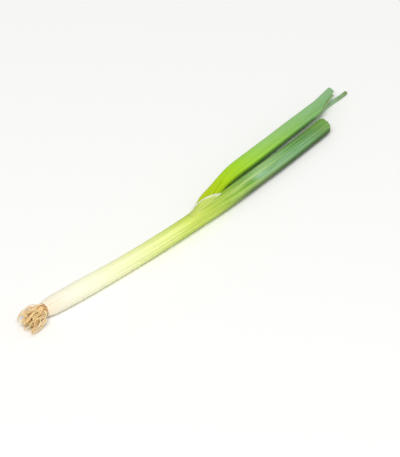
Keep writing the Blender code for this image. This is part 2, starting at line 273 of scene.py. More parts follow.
def frame_at(path, x, reach=0.0005):
    """Middle, forward, left and up of a path at x."""
    forward = (path(x + reach) - path(x - reach)).normalized()
    left = Vector((0, 0, 1)).cross(forward).normalized()
    return path(x), forward, left, forward.cross(left)


# Where the CAD model stands: its own coordinates are moved so that they meet the frame's boxes

BASE_LO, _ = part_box("outer_leaf")
_, base_forward, _, _ = frame_at(outer_axis, 0.0)
local_low_x = -BASE_DIAMETER / 2 * abs(base_forward.y)
local_low_y = min(outer_axis(x).y - outer_width(x) / 2 for x in steps(0, AXIS_LENGTH, 300))
STAND = Vector((BASE_LO.x - local_low_x, BASE_LO.y - local_low_y, 0.0))


# Skins: closed meshes made of rows of points, each point with what its material reads


COAT_RADIUS = 6.5  # millimetres: a leaf's skin is coloured as if wrapped round such a tube


class Skin:
    """Rows of points round a leaf. Each row also holds where it is along the plant."""

    def __init__(self, sides):
        self.sides = sides
        self.points, self.along, self.coat, self.inner, self.edge = [], [], [], [], []

    def row(self, points, along, turns, inner=0.0, edge=0.0):
        self.points.append(points)
        along = along if hasattr(along, "__len__") else [along] * self.sides
        edge = edge if hasattr(edge, "__len__") else [edge] * self.sides
        self.along += along
        self.coat += [
            (COAT_RADIUS * math.cos(t), COAT_RADIUS * math.sin(t), s / MM)
            for t, s in zip(turns, along)
        ]
        self.inner += [inner] * self.sides
        self.edge += list(edge)

    def build(self, name, joined_ends=False):
        """The closed mesh. Its ends are capped, or joined to each other where they meet."""
        rows, n = len(self.points), self.sides
        flat = [point for row in self.points for point in row]
        vertices = [(p.x + STAND.x, p.y + STAND.y, max(p.z, 0.0)) for p in flat]
        faces = []
        for r in range(rows if joined_ends else rows - 1):
            near, far = r * n, (r + 1) % rows * n
            for k in range(n):
                after = (k + 1) % n
                faces.append((near + k, near + after, far + after, far + k))
        if not joined_ends:
            faces.append(tuple(reversed(range(n))))
            faces.append(tuple(range((rows - 1) * n, rows * n)))
        mesh = bpy.data.meshes.new(name)
        mesh.from_pydata(vertices, [], faces)
        for label, values in (("along", self.along), ("inner", self.inner), ("edge", self.edge)):
            mesh.attributes.new(label, "FLOAT", "POINT").data.foreach_set("value", values)
        coat = mesh.attributes.new("coat", "FLOAT_VECTOR", "POINT")
        coat.data.foreach_set("vector", np.array(self.coat, np.float32).ravel())
        return finish_mesh(name, mesh)


def finish_mesh(name, mesh):
    work = bmesh.new()
    work.from_mesh(mesh)
    bmesh.ops.recalc_face_normals(work, faces=work.faces)
    work.to_mesh(mesh)
    work.free()
    mesh.shade_smooth()
    obj = bpy.data.objects.new(name, mesh)
    bpy.context.scene.collection.objects.link(obj)
    return obj


def turns_of(sides):
    return [2 * math.pi * k / sides for k in range(sides)]


# The outer leaf

OUTER_SIDES = 144
CUT_EASE = 0.035  # how much of the blade's end leans with its uneven cut
CUT_DRY = 0.0009
OUTER_INSIDE_SHOWN = 0.075  # how deep the tube's inside is built
OUTER_INSIDE_WALL = 0.85 * MM


def outer_profile(x, turn, grow=0.0):
    """(across, up) of the outer leaf's skin at x, with its ribs and slight unevenness."""
    half_width, half_height = outer_width(x) / 2, outer_height(x) / 2
    blade = to_blade(x)
    cos, sin = math.cos(turn), math.sin(turn)
    drift = 2.2 * math.sin(3 * turn) + 0.8 * wobble(x * 40, cos, sin)
    ribs = 0.5 + 0.5 * math.cos(36 * turn + drift)
    relief = (0.03 + 0.07 * blade) * MM * (ribs - 0.5)
    relief += 0.16 * MM * (0.4 + blade) * wobble(2.2 * cos, 2.2 * sin, x * 45, 1)
    relief += 0.22 * MM * blade * wobble(1.3 * cos, 1.3 * sin, x * 18, 2)
    # The blade's upper side is flattened where it leaves the sheath
    flattened = 1 - 0.10 * blade * math.exp(-(((turn - 1.15) / 0.55) ** 2)) * (
        1 - ease(x, SHAFT_LENGTH + 0.03, SHAFT_LENGTH + 0.10)
    )
    across = (half_width * flattened + relief + grow) * cos
    up = (half_height * flattened + relief + grow) * sin
    return across, up


def outer_row(x, grow=0.0, shift=None):
    middle, forward, left, upward = frame_at(outer_axis, x)
    row = []
    for k, turn in enumerate(turns_of(OUTER_SIDES)):
        across, up = outer_profile(x, turn, grow)
        point = middle + left * across + upward * up
        if shift:
            point = point + forward * shift[k]
        row.append(point)
    return row


def outer_leaf(look):
    skin = Skin(OUTER_SIDES)
    turns = turns_of(OUTER_SIDES)
    cut = AXIS_LENGTH
    ragged = [
        0.9 * MM * wobble(2.4 * math.cos(t), 2.4 * math.sin(t), 3.1)
        + 0.35 * MM * wobble(9 * math.cos(t), 9 * math.sin(t), 1.7)
        + OUTER_CUT_SLANT * math.cos(t - math.radians(FAR_SIDE))
        for t in turns
    ]
    rounding = steps(0, 1, 7)
    for t in rounding[:-1]:  # the base tucks in over the root plate
        x = 0.0026 * (1 - math.cos(t * math.pi / 2))
        pull = -1.5 * MM * (1 - math.sin(t * math.pi / 2))
        skin.row(outer_row(x + 0.0002, pull), x, turns)
    for x in steps(0.0028, cut, 420)[:-1]:
        lean = ease(x, cut - CUT_EASE, cut)
        shift = [value * lean for value in ragged]
        dry = ease(x, cut - CUT_DRY, cut)
        skin.row(outer_row(x, 0.0, shift), [x + value for value in shift], turns, 0.0, dry)
    rim = ((0, 0, 0), (-0.22, -0.18, 0.3), (-0.55, -0.15, 0.7), (-0.78, 0.25, 1))
    for grow, back, inner in rim:
        shift = [value - back * MM * 0.5 for value in ragged]
        skin.row(outer_row(cut, grow * MM, shift), cut, turns, inner, 1.0)
    for t in steps(0, 1, 26)[1:]:
        x = cut - t * OUTER_INSIDE_SHOWN
        lean = ease(x, cut - CUT_EASE, cut)
        shift = [value * lean for value in ragged]
        skin.row(outer_row(x, -OUTER_INSIDE_WALL, shift), x, turns, 1.0, max(0.0, 1 - t * 8))
    obj = skin.build("outer_leaf_skin")
    obj.data.materials.append(look)
    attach(obj, "root")
    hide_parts("outer_leaf")
    return obj


# The collar round the sheath's mouth: part of the outer leaf's skin, over the younger leaves

COLLAR_START = SHAFT_LENGTH - 0.032
COLLAR_WALL = 0.35 * MM
COLLAR_SWELL = 0.024  # how far along it the collar takes in the younger leaves
FILM_SIDE = math.radians(112)  # where the pale film along the rim is broadest
# Millimetres from the mouth to the rim, by degrees round the sheath from its far side
RIM = (
    (-135, 8.0),
    (-90, 4.0),
    (-45, -3.0),
    (0, -10.0),
    (42, -12.5),
    (60, -8.0),
    (75, 0.0),
    (90, 8.0),
    (105, 13.0),
    (120, 13.6),
    (135, 11.0),
    (160, 8.0),
    (225, 8.0),
)


def ray_to_ellipse(origin, direction, middle, half_y, half_z):
    """How far a ray from inside an ellipse goes until it leaves it."""
    oy, oz = (origin[0] - middle[0]) / half_y, (origin[1] - middle[1]) / half_z
    dy, dz = direction[0] / half_y, direction[1] / half_z
    a = dy * dy + dz * dz
    b = oy * dy + oz * dz
    c = oy * oy + oz * oz - 1
    return (-b + math.sqrt(max(b * b - a * c, 0.0))) / a


def collar_point(x, turn, grow=0.0):
    """The skin over the shaft and the held leaves together, with the crease between them filled."""
    shaft = outer_axis(x)
    cup_middle, cup_y, cup_z = cup_section(x)
    swell = ease(x, COLLAR_START, COLLAR_START + COLLAR_SWELL)
    origin = ((shaft.y + cup_middle[0]) / 2, (shaft.z + cup_middle[1]) / 2)
    direction = (math.cos(turn), math.sin(turn))
    to_shaft = ray_to_ellipse(
        origin, direction, (shaft.y, shaft.z), outer_width(x) / 2, outer_height(x) / 2
    )
    to_cup = ray_to_ellipse(
        origin, direction, cup_middle, cup_y + COLLAR_WALL, cup_z + COLLAR_WALL
    )
    to_cup = to_cup * swell + min(to_cup, to_shaft - 2.0 * MM) * (1 - swell)
    fillet = 1.5 * MM * (1 - 0.65 * ease(x, SHAFT_LENGTH - 0.004, SHAFT_LENGTH + 0.016))
    apart = to_cup - to_shaft
    both = (to_cup + to_shaft + math.sqrt(apart * apart + fillet * fillet)) / 2
    sunk = 0.42 * MM * (1 - ease(apart, -3.0 * MM, -0.2 * MM))
    ribs = math.cos(40 * turn + 2 * math.sin(2 * turn))
    uneven = 0.02 * MM * ribs + 0.12 * MM * wobble(2 * direction[0], 2 * direction[1], x * 60, 3)
    reach = both - sunk + uneven + grow
    return Vector((x, origin[0] + direction[0] * reach, origin[1] + direction[1] * reach))


def rim_at(turn):
    degrees = math.degrees(turn)
    if degrees > RIM[-1][0]:
        degrees -= 360
    wavy = 0.5 * wobble(3 * math.cos(turn), 3 * math.sin(turn), 0.4, 4)
    wavy += 0.35 * wobble(11 * math.cos(turn), 11 * math.sin(turn), 0.4, 5)
    return SHAFT_LENGTH + (through(RIM, degrees) + wavy) * MM


def collar(look):
    sides = 128
    skin = Skin(sides)
    turns = turns_of(sides)
    rims = [rim_at(turn) for turn in turns]
    # The pale film along the rim is broadest on the side that faces up
    films = [(4.0 + 5.0 * max(0.0, math.cos(turn - FILM_SIDE)) ** 2) * MM for turn in turns]

    def row(share, grow, inner):
        along = [COLLAR_START + (rim - COLLAR_START) * share for rim in rims]
        points = [collar_point(x, turn, grow) for x, turn in zip(along, turns)]
        edge = [
            0.80 * ease(rim - x, film, 0.42 * film) + 0.20 * ease(rim - x, 0.0016, 0.0)
            for x, rim, film in zip(along, rims, films)
        ]
        skin.row(points, along, turns, inner, edge)

    def cling(share):
        return -0.42 * MM * ease(share, 0.62, 1.0)

    for share in steps(0, 0.93, 40) + steps(0.945, 1.0, 6):
        row(share, cling(share), 0.0)
    for share in (0.998, 0.985):
        row(share, cling(share) - 0.12 * MM, 0.0)
    for share in steps(0.95, 0.30, 14):
        row(share, cling(share) - 0.30 * MM, 1.0)
    obj = skin.build("outer_leaf_mouth", joined_ends=True)
    obj.data.materials.append(look)
    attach(obj, "root")
    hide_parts("outer_leaf")
    return obj


# The inner leaf

INNER_SIDES = 128
INNER_INSIDE_SHOWN = 0.080
INNER_INSIDE_WALL = 0.68 * MM
FOLD_DEPTH = 0.95 * MM
FAR_CORNER = 1.6 * MM  # how far the cut's corner on the far side reaches past the rest

# Corners of the flattened blade's section, as shares of its half width and half height: a broad
# upper face that sinks a little in its middle, a ridge, and a blunt side towards the outer leaf
BLADE_CORNERS = (
    (1.00, 0.05),
    (0.86, 0.55),
    (0.50, 0.78),
    (0.10, 0.74),
    (-0.30, 0.86),
    (-0.66, 1.04),
    (-0.90, 0.62),
    (-1.00, -0.25),
    (-0.88, -0.90),
    (-0.40, -1.00),
    (0.20, -0.88),
    (0.74, -0.62),
)


def section_from(corners, sides):
    """A smooth closed curve through corners, as points evenly spread along it."""
    count = len(corners)
    fine = []
    for i in range(count):
        a, b, c, d = (Vector(corners[(i + k - 1) % count]) for k in range(4))
        for t in steps(0, 1, 25)[:-1]:
            fine.append(
                0.5 * (2 * b + (c - a) * t + (2 * a - 5 * b + 4 * c - d) * t * t
                       + (3 * b - a - 3 * c + d) * t * t * t)
            )
    lengths = [0.0]
    scale = 2.4  # the section is about this many times wider than high
    for p, q in zip(fine, fine[1:] + fine[:1]):
        lengths.append(lengths[-1] + math.hypot((q.x - p.x) * scale, q.y - p.y))
    spread = []
    k = 0
    for wanted in (lengths[-1] * j / sides for j in range(sides)):
        while lengths[k + 1] < wanted:
            k += 1
        t = (wanted - lengths[k]) / max(lengths[k + 1] - lengths[k], 1e-9)
        spread.append(fine[k].lerp(fine[(k + 1) % len(fine)], t))
    return spread


BLADE_SECTION = section_from(BLADE_CORNERS, INNER_SIDES)
ROUND_SECTION = [Vector((math.cos(t), math.sin(t))) for t in turns_of(INNER_SIDES)]


def inner_row(x, grow=0.0, shift=None):
    """The inner leaf's row at x; grow moves its skin out, and shift moves its points along it."""
    middle, forward, left, upward = frame_at(inner_path, x)
    roll = inner_roll(x)
    across_axis = left * math.cos(roll) + upward * math.sin(roll)
    up_axis = upward * math.cos(roll) - left * math.sin(roll)
    half_width, half_height = inner_width(x) / 2 + grow, inner_height(x) / 2 + grow
    flat = ease(x, SHAFT_LENGTH + 0.002, SHAFT_LENGTH + 0.040)
    row = []
    for k in range(INNER_SIDES):
        share = ROUND_SECTION[k].lerp(BLADE_SECTION[k], flat)
        turn = 2 * math.pi * k / INNER_SIDES
        cos, sin = math.cos(turn), math.sin(turn)
        relief = 0.035 * MM * math.cos(34 * turn + 2 * math.sin(2 * turn))
        relief += 0.20 * MM * wobble(1.6 * cos, 1.6 * sin, x * 38, 6)
        # The fold where the leaf turns over on leaving the mouth
        fold_turn = 1.75 - 26 * (x - SHAFT_LENGTH - 0.012)
        fold = math.exp(-(((turn - fold_turn) / 0.14) ** 2))
        fold *= ease(x, SHAFT_LENGTH + 0.003, SHAFT_LENGTH + 0.009)
        fold *= 1 - ease(x, SHAFT_LENGTH + 0.020, SHAFT_LENGTH + 0.030)
        relief -= FOLD_DEPTH * fold
        along = up_axis * (share.y * half_height) + across_axis * (share.x * half_width)
        outward = (across_axis * share.x + up_axis * share.y * 1.6).normalized()
        point = middle + along + outward * relief
        if shift:
            point = point + forward * shift[k]
        row.append(point)
    return row


def inner_leaf(look):
    skin = Skin(INNER_SIDES)
    turns = turns_of(INNER_SIDES)
    cut = SHAFT_LENGTH + INNER_BLADE_LENGTH - INNER_CUT_SLANT
    slant = []
    for t in turns:
        side = 0.3 * ease(-math.cos(t), 0.12, 0.40) + 0.7 * ease(-math.cos(t), 0.30, 1.0)
        ragged = 0.3 * MM * wobble(2.6 * math.cos(t), 2.6 * math.sin(t), 7.7)
        ragged += 0.12 * MM * wobble(8 * math.cos(t), 8 * math.sin(t), 2.7)
        far_corner = FAR_CORNER * ease(math.cos(t), -0.1, 0.8)
        slant.append(INNER_CUT_SLANT * (1 - 2 * side) + far_corner + ragged)
    start = SHAFT_LENGTH - MOUTH_DEPTH + 3 * GAP
    for x in steps(start, cut, 250):
        lean = ease(x, cut - INNER_CUT_BLEND, cut)
        shift = [value * lean for value in slant]
        along = [x + value for value in shift]
        skin.row(inner_row(x, 0.0, shift), along, turns)
    for grow, back, inner in ((-0.15, -0.12, 0.3), (-0.45, -0.05, 0.8), (-0.62, 0.3, 1)):
        shift = [value - back * MM * 0.5 for value in slant]
        skin.row(inner_row(cut, grow * MM, shift), cut, turns, inner, 1.0)
    for t in steps(0, 1, 30)[1:]:
        x = cut - t * INNER_INSIDE_SHOWN
        lean = ease(x, cut - INNER_CUT_BLEND, cut)
        shift = [value * lean for value in slant]
        skin.row(inner_row(x, -INNER_INSIDE_WALL, shift), x, turns, 1.0, max(0.0, 1 - t * 8))
    obj = skin.build("inner_leaf_blade")
    obj.data.materials.append(look)
    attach(obj, "root")
    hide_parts("inner_leaf")
    return obj


# The young leaf


YOUNG_TIP = 0.0016  # the length of its rounded end


def young_leaf(look):
    sides = 48
    skin = Skin(sides)
    turns = turns_of(sides)
    start, end = SHAFT_LENGTH - MOUTH_DEPTH + 4 * GAP, SHAFT_LENGTH + YOUNG_BLADE_LENGTH
    places = steps(start, end - YOUNG_TIP, 170)
    places += [end - YOUNG_TIP * (1 - t) for t in (0.3, 0.55, 0.75, 0.9, 0.97)]
    for x in places:
        middle, _, left, upward = frame_at(young_path, x)
        closing = math.sqrt(max(0.02, 1 - max(0.0, (x - end + YOUNG_TIP) / YOUNG_TIP) ** 2))
        radius = young_diameter(x) / 2 * closing
        row = []
        for turn in turns:
            cos, sin = math.cos(turn), math.sin(turn)
            relief = 0.03 * MM * math.cos(12 * turn) + 0.10 * MM * wobble(cos, sin, x * 80, 8)
            reach = radius + relief * closing
            row.append(middle + left * (reach * cos) + upward * (reach * sin))
        skin.row(row, x, turns, 0.0, ease(x, end - 0.004, end))
    obj = skin.build("young_leaf_blade")
    obj.data.materials.append(look)
    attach(obj, "root")
    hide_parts("young_leaf")
    return obj


# The root plate and the roots


def base_point(back, across, up):
    middle, forward, left, upward = frame_at(outer_axis, 0.0)
    return middle - forward * (GAP + back) + left * across + upward * up


def root_plate(look):
    sides = 64
    skin = Skin(sides)
    turns = turns_of(sides)
    for degrees in (-30, -12, 0, 8, 16, 24, 32, 40, 48, 56, 64, 72, 80, 86):
        angle = math.radians(degrees)
        row = []
        for turn in turns:
            bumps = 1 + 0.09 * wobble(3 * math.cos(turn), 3 * math.sin(turn), degrees / 12, 9)
            radius = (BASE_DIAMETER / 2 - 0.5 * MM) * math.cos(angle) * bumps
            back = PLATE_THICKNESS * math.sin(angle) * bumps
            row.append(base_point(back, radius * math.cos(turn), radius * math.sin(turn)))
        skin.row(row, -PLATE_THICKNESS * math.sin(angle), turns)
    obj = skin.build("root_plate_skin")
    obj.data.materials.append(look)
    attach(obj, "root")
    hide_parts("root_plate")
    return obj


def bezier(points, t):
    a, b, c, d = points
    return a * (1 - t) ** 3 + b * 3 * t * (1 - t) ** 2 + c * 3 * t * t * (1 - t) + d * t**3


def root_course(across, up, length, curl, seed):
    """A function giving a root's points: near the CAD root's course, with a dry root's curls."""
    radius = BASE_DIAMETER / 2 - GAP
    depth = math.sqrt(max(0.0, 1 - across**2 - up**2))
    start = base_point(depth * PLATE_THICKNESS - 0.8 * MM, across * radius, up * radius)
    outward = base_point(depth, across * 0.5, up * 0.5) - base_point(0, 0, 0)
    outward.normalize()
    tip = base_point(
        PLATE_THICKNESS + length,
        -ROOT_LEAN * TUFT_BEND * (length / ROOT_LENGTH) ** 2 + across * TUFT_HALF_WIDTH,
        (up - 0.25) * TUFT_HALF_HEIGHT,
    )
    tip.z = max(tip.z, ROOT_DIAMETER / 2)
    handles = (
        start,
        start + outward * (0.10 * length),
        tip + Vector((0.42 * length, TUFT_BEND * 0.7, 0.0002)),
        tip,
    )

    def course(t):
        away = ease(t, 0.05, 0.6) * curl
        curls = t * ROOT_CURL_GRAIN
        return bezier(handles, t) + Vector(
            (
                0.7 * away * wobble(curls, 0.3, 0.1, seed),
                1.5 * away * wobble(curls, 4.3, 2.1, seed),
                0.9 * away * wobble(curls, 8.3, 5.1, seed),
            )
        )

    return course


FINE_ROOT_COUNT = 56
ROOT_SIDES, ROOT_RINGS = 10, 46
ROOT_CURL_GRAIN = 1.3  # curls along a root
ROOT_LEAN = 1.7  # the tuft leans this many times as far as the CAD roots of the same length


def roots(look):
    """The roots as one mesh of separate closed strands, each a dry ribbon that twists."""
    draw = random.Random(11)
    sides, rings = ROOT_SIDES, ROOT_RINGS
    vertices, faces, along, strand = [], [], [], []

    def add(course, width, flatness, twist, tone):
        first = len(vertices)
        side = Vector((0, 1, 0))
        for i in range(rings):
            t = i / (rings - 1)
            forward = (course(t + 0.01) - course(t - 0.01)).normalized()
            side = (side - forward * side.dot(forward)).normalized()
            upward = forward.cross(side)
            size = width / 2 * (1 - 0.40 * t) * (1 + 0.18 * wobble(t * 11, tone * 9, 0.2, 10))
            size *= 0.35 if i == rings - 1 else 1.0
            turned = twist * t
            broad = side * math.cos(turned) + upward * math.sin(turned)
            thin = upward * math.cos(turned) - side * math.sin(turned)
            middle = course(t)
            middle.z = max(middle.z, size * 0.7)
            for k in range(sides):
                angle = 2 * math.pi * k / sides
                point = middle + broad * (size * math.cos(angle))
                point += thin * (size * flatness * math.sin(angle))
                vertices.append((point.x + STAND.x, point.y + STAND.y, max(point.z, 0.0)))
                along.append(t)
                strand.append(tone)
        for i in range(rings - 1):
            near, far = first + i * sides, first + (i + 1) * sides
            for k in range(sides):
                after = (k + 1) % sides
                faces.append((near + k, near + after, far + after, far + k))
        faces.append(tuple(reversed(range(first, first + sides))))
        last = first + (rings - 1) * sides
        faces.append(tuple(range(last, last + sides)))

    for k in range(ROOT_COUNT):
        distance = 0.84 * math.sqrt((k + 0.5) / ROOT_COUNT)
        angle = k * GOLDEN_ANGLE
        length = ROOT_LENGTH * draw.uniform(0.60, 0.92)
        curl = draw.uniform(3, 6.5) * MM
        across, up = distance * math.cos(angle), distance * math.sin(angle)
        course = root_course(across, up, length, curl, k)
        width = ROOT_DIAMETER * draw.uniform(1.7, 3.0)
        add(course, width, draw.uniform(0.28, 0.5), draw.uniform(-2, 2), draw.random())
    for k in range(FINE_ROOT_COUNT):
        distance = 0.93 * math.sqrt(draw.random())
        angle = draw.uniform(0, 2 * math.pi)
        length = ROOT_LENGTH * draw.uniform(0.35, 0.98)
        curl = draw.uniform(4, 8) * MM
        across, up = distance * math.cos(angle), distance * math.sin(angle)
        course = root_course(across, up, length, curl, 50 + k)
        width = ROOT_DIAMETER * draw.uniform(0.6, 1.4)
        add(course, width, draw.uniform(0.5, 0.9), draw.uniform(-3, 3), draw.random())
    mesh = bpy.data.meshes.new("root_strands")
    mesh.from_pydata(vertices, [], faces)
    for label, values in (("along", along), ("strand", strand)):
        mesh.attributes.new(label, "FLOAT", "POINT").data.foreach_set("value", values)
    obj = finish_mesh("root_strands", mesh)
    obj.data.materials.append(look)
    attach(obj, "root")
    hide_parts(*[f"root_{k + 1:02d}" for k in range(ROOT_COUNT)])
    return obj


# Materials


def rgb(code):
    """A colour given as six hex digits, as the linear light that shaders take."""
    values = [int(code[i : i + 2], 16) / 255 for i in (0, 2, 4)]
    linear = [v / 12.92 if v <= 0.04045 else ((v + 0.055) / 1.055) ** 2.4 for v in values]
    return (*linear, 1.0)


class Nodes:
    """Short ways to add and link the nodes of one material."""

    def __init__(self, name):
        self.material = bpy.data.materials.new(name)
        self.material.use_nodes = True
        self.tree = self.material.node_tree
        self.shader = self.tree.nodes["Principled BSDF"]

    def add(self, kind, **settings):
        node = self.tree.nodes.new(kind)
        for key, value in settings.items():
            setattr(node, key, value)
        return node

    def put(self, value, socket):
        if isinstance(value, bpy.types.NodeSocket):
            self.tree.links.new(value, socket)
        else:
            socket.default_value = value

    def attribute(self, name, output="Fac"):
        return self.add("ShaderNodeAttribute", attribute_name=name).outputs[output]

    def math(self, operation, a, b=0.0, clamp=False):
        node = self.add("ShaderNodeMath", operation=operation, use_clamp=clamp)
        self.put(a, node.inputs[0])
        self.put(b, node.inputs[1])
        return node.outputs[0]

    def scaled(self, vector, by):
        node = self.add("ShaderNodeVectorMath", operation="MULTIPLY")
        self.put(vector, node.inputs[0])
        node.inputs[1].default_value = by
        return node.outputs[0]

    def noise(self, vector, scale=1.0, detail=3.0, roughness=0.55, distortion=0.0):
        node = self.add("ShaderNodeTexNoise")
        self.put(vector, node.inputs["Vector"])
        node.inputs["Scale"].default_value = scale
        node.inputs["Detail"].default_value = detail
        node.inputs["Roughness"].default_value = roughness
        node.inputs["Distortion"].default_value = distortion
        return node.outputs["Fac"]

    def ramp(self, factor, stops):
        """stops are (place, colour), the colour as linear light."""
        node = self.add("ShaderNodeValToRGB")
        elements = node.color_ramp.elements
        while len(elements) < len(stops):
            elements.new(0.5)
        for element, (place, colour) in zip(elements, stops):
            element.position = place
            element.color = colour
        self.put(factor, node.inputs[0])
        return node.outputs[0]

    def between(self, factor, low, high, to_low=0.0, to_high=1.0):
        node = self.add("ShaderNodeMapRange", clamp=True)
        self.put(factor, node.inputs["Value"])
        labels = ("From Min", "From Max", "To Min", "To Max")
        for label, value in zip(labels, (low, high, to_low, to_high)):
            node.inputs[label].default_value = value
        return node.outputs[0]

    def mix(self, factor, a, b, blend="MIX"):
        node = self.add("ShaderNodeMix", data_type="RGBA", blend_type=blend)
        self.put(factor, node.inputs["Factor"])
        self.put(a, node.inputs["A"])
        self.put(b, node.inputs["B"])
        return node.outputs["Result"]

    def bump(self, height, distance, strength=1.0):
        node = self.add("ShaderNodeBump")
        self.put(height, node.inputs["Height"])
        node.inputs["Distance"].default_value = distance
        node.inputs["Strength"].default_value = strength
        self.put(node.outputs[0], self.shader.inputs["Normal"])


def along_stops(stops, reach):
    """(metres from the root plate, hex colour) as a ramp's stops over 0 to reach."""
    return [(place / reach, rgb(code)) for place, code in stops]


RAMP_REACH = 0.36  # metres along the plant that a colour ramp covers


class Leaf(Nodes):
    """The skin of a leaf. Its nodes read the coat that each leaf's mesh carries."""

    def __init__(self, name):
        super().__init__(name)
        self.coat = self.attribute("coat", "Vector")
        self.along = self.attribute("along")
        self.fine = self.noise(
            self.scaled(self.coat, (1.05, 1.05, 0.010)), detail=3.5, roughness=0.6
        )
        self.broad = self.noise(self.scaled(self.coat, (0.55, 0.55, 0.012)), detail=2.0)
        self.grain = self.noise(self.scaled(self.coat, (3.0, 3.0, 1.2)), detail=2.0)
        self.mottle = self.noise(
            self.scaled(self.coat, (0.5, 0.5, 0.16)), detail=4.0, roughness=0.6
        )

    def towards(self, degrees):
        """The cosine of the angle round the leaf from this side of it."""
        angle = math.radians(degrees)
        cos, sin = math.cos(angle), math.sin(angle)
        node = self.add("ShaderNodeVectorMath", operation="DOT_PRODUCT")
        self.put(self.coat, node.inputs[0])
        node.inputs[1].default_value = (cos / COAT_RADIUS, sin / COAT_RADIUS, 0.0)
        return node.outputs["Value"]

    def by_length(self, stops, *shifts):
        """Colour along the leaf. Each shift moves where it is read, in metres."""
        place = self.along
        mottled = self.between(self.mottle, 0.3, 0.7, -0.003, 0.003)
        veined = self.between(self.fine, 0.35, 0.65, -0.008, 0.008)
        for shift in (mottled, veined, *shifts):
            place = self.math("ADD", place, shift)
        return self.ramp(self.between(place, 0.0, RAMP_REACH), along_stops(stops, RAMP_REACH))

    def tinted(self, colour, factor, tint):
        """The colour multiplied by a tint, by this factor."""
        return self.mix(factor, colour, self.mix(1.0, colour, rgb(tint), "MULTIPLY"))

    def veined(self, colour, amount):
        """Fine darker lines along the leaf, broader bands, and a grain."""
        lines = self.math("MULTIPLY", self.between(self.fine, 0.42, 0.62), amount)
        bands = self.math("MULTIPLY", self.between(self.broad, 0.42, 0.66, 0.0, 0.6), amount)
        colour = self.tinted(colour, lines, "a6c468")
        colour = self.tinted(colour, bands, "bcd084")
        return self.tinted(colour, self.between(self.grain, 0.35, 0.7, 0.0, 0.10), "c8d49c")

    def finish(self, colour, inside, rim, rim_share, soft, roughness, relief):
        colour = self.mix(self.attribute("inner"), colour, rgb(inside))
        at_rim = self.math("MULTIPLY", self.attribute("edge"), rim_share)
        colour = self.mix(at_rim, colour, rgb(rim))
        self.put(colour, self.shader.inputs["Base Color"])
        gloss = self.math("ADD", self.fine, self.grain)
        self.put(
            self.between(gloss, 0.7, 1.3, roughness - 0.06, roughness + 0.10),
            self.shader.inputs["Roughness"],
        )
        self.shader.inputs["IOR"].default_value = 1.40
        self.shader.inputs["Subsurface Weight"].default_value = soft
        self.shader.inputs["Subsurface Radius"].default_value = (1.0, 1.0, 0.45)
        self.shader.inputs["Subsurface Scale"].default_value = 0.0025
        self.bump(self.math("ADD", self.fine, self.math("MULTIPLY", self.grain, 0.35)), relief, 0.6)
        return self.material


BLADE_STOPS = (
    (0.000, "ecd6b8"),
    (0.004, "f4e6d2"),
    (0.018, "f8f2e0"),
    (0.050, "fbfadc"),
    (0.078, "fcfccc"),
    (0.105, "f8fbb2"),
    (0.128, "eff69a"),
    (0.146, "e3ee78"),
    (0.165, "d6e568"),
    (0.184, "cbe26c"),
    (0.198, "a8ce54"),
    (0.212, "88b84e"),
    (0.230, "7cb05c"),
    (0.250, "78ae68"),
    (0.272, "6fa662"),
    (0.290, "629650"),
    (0.310, "78a850"),
)
SHEATH_STOPS = BLADE_STOPS[:8] + (
    (0.172, "e0f078"),
    (0.195, "dff088"),
    (0.360, "dff088"),
)
INNER_STOPS = (
    (0.150, "c4c81c"),
    (0.180, "bcd206"),
    (0.200, "b2d808"),
    (0.222, "a8da30"),
    (0.250, "9cd256"),
    (0.285, "90c568"),
    (0.320, "86b978"),
    (0.345, "80b07c"),
)
YOUNG_STOPS = (
    (0.150, "b0c83c"),
    (0.200, "90b858"),
    (0.250, "7cac70"),
    (0.320, "8cb692"),
    (0.342, "9abc94"),
    (0.354, "8ca86c"),
)


def sheath_colours(leaf):
    """The outer leaf's colour as blade, and as the paler sheath that ends in the mouth's rim."""
    # Painted shade: towards the two sides at the outline, away from the side that faces the camera,
    # the colour is read further along the ramp, so it is greener and darker there
    facing = leaf.towards(CAMERA_SIDE)
    aside = leaf.math("SUBTRACT", 1.0, leaf.math("MULTIPLY", facing, facing))
    edge_shade_shift = leaf.math("MULTIPLY", aside, leaf.between(leaf.along, 0.150, 0.195, 0.012, 0.010))
    veins = leaf.between(leaf.along, 0.040, 0.190, 0.05, 0.70)
    colours = []
    for stops, share in ((BLADE_STOPS, 1.0), (SHEATH_STOPS, 0.6)):
        colour = leaf.veined(leaf.by_length(stops, edge_shade_shift), leaf.math("MULTIPLY", veins, share))
        # A lime tint towards the near and far sides of the sheath: partly its own greener colour,
        # partly painted shade at the outline
        for side, amount in ((NEAR_SIDE, 0.65), (FAR_SIDE, 0.35)):
            lime_and_edge_shade = leaf.math(
                "MULTIPLY",
                leaf.between(leaf.towards(side), 0.40, 0.98, 0.0, amount),
                leaf.between(leaf.along, 0.080, 0.150),
            )
            lime_and_edge_shade = leaf.math("MULTIPLY", lime_and_edge_shade, leaf.between(leaf.along, 0.190, 0.215, 1.0, 0.0))
            colour = leaf.mix(lime_and_edge_shade, colour, rgb("b2cc2c"))
        colours.append(colour)
    return colours


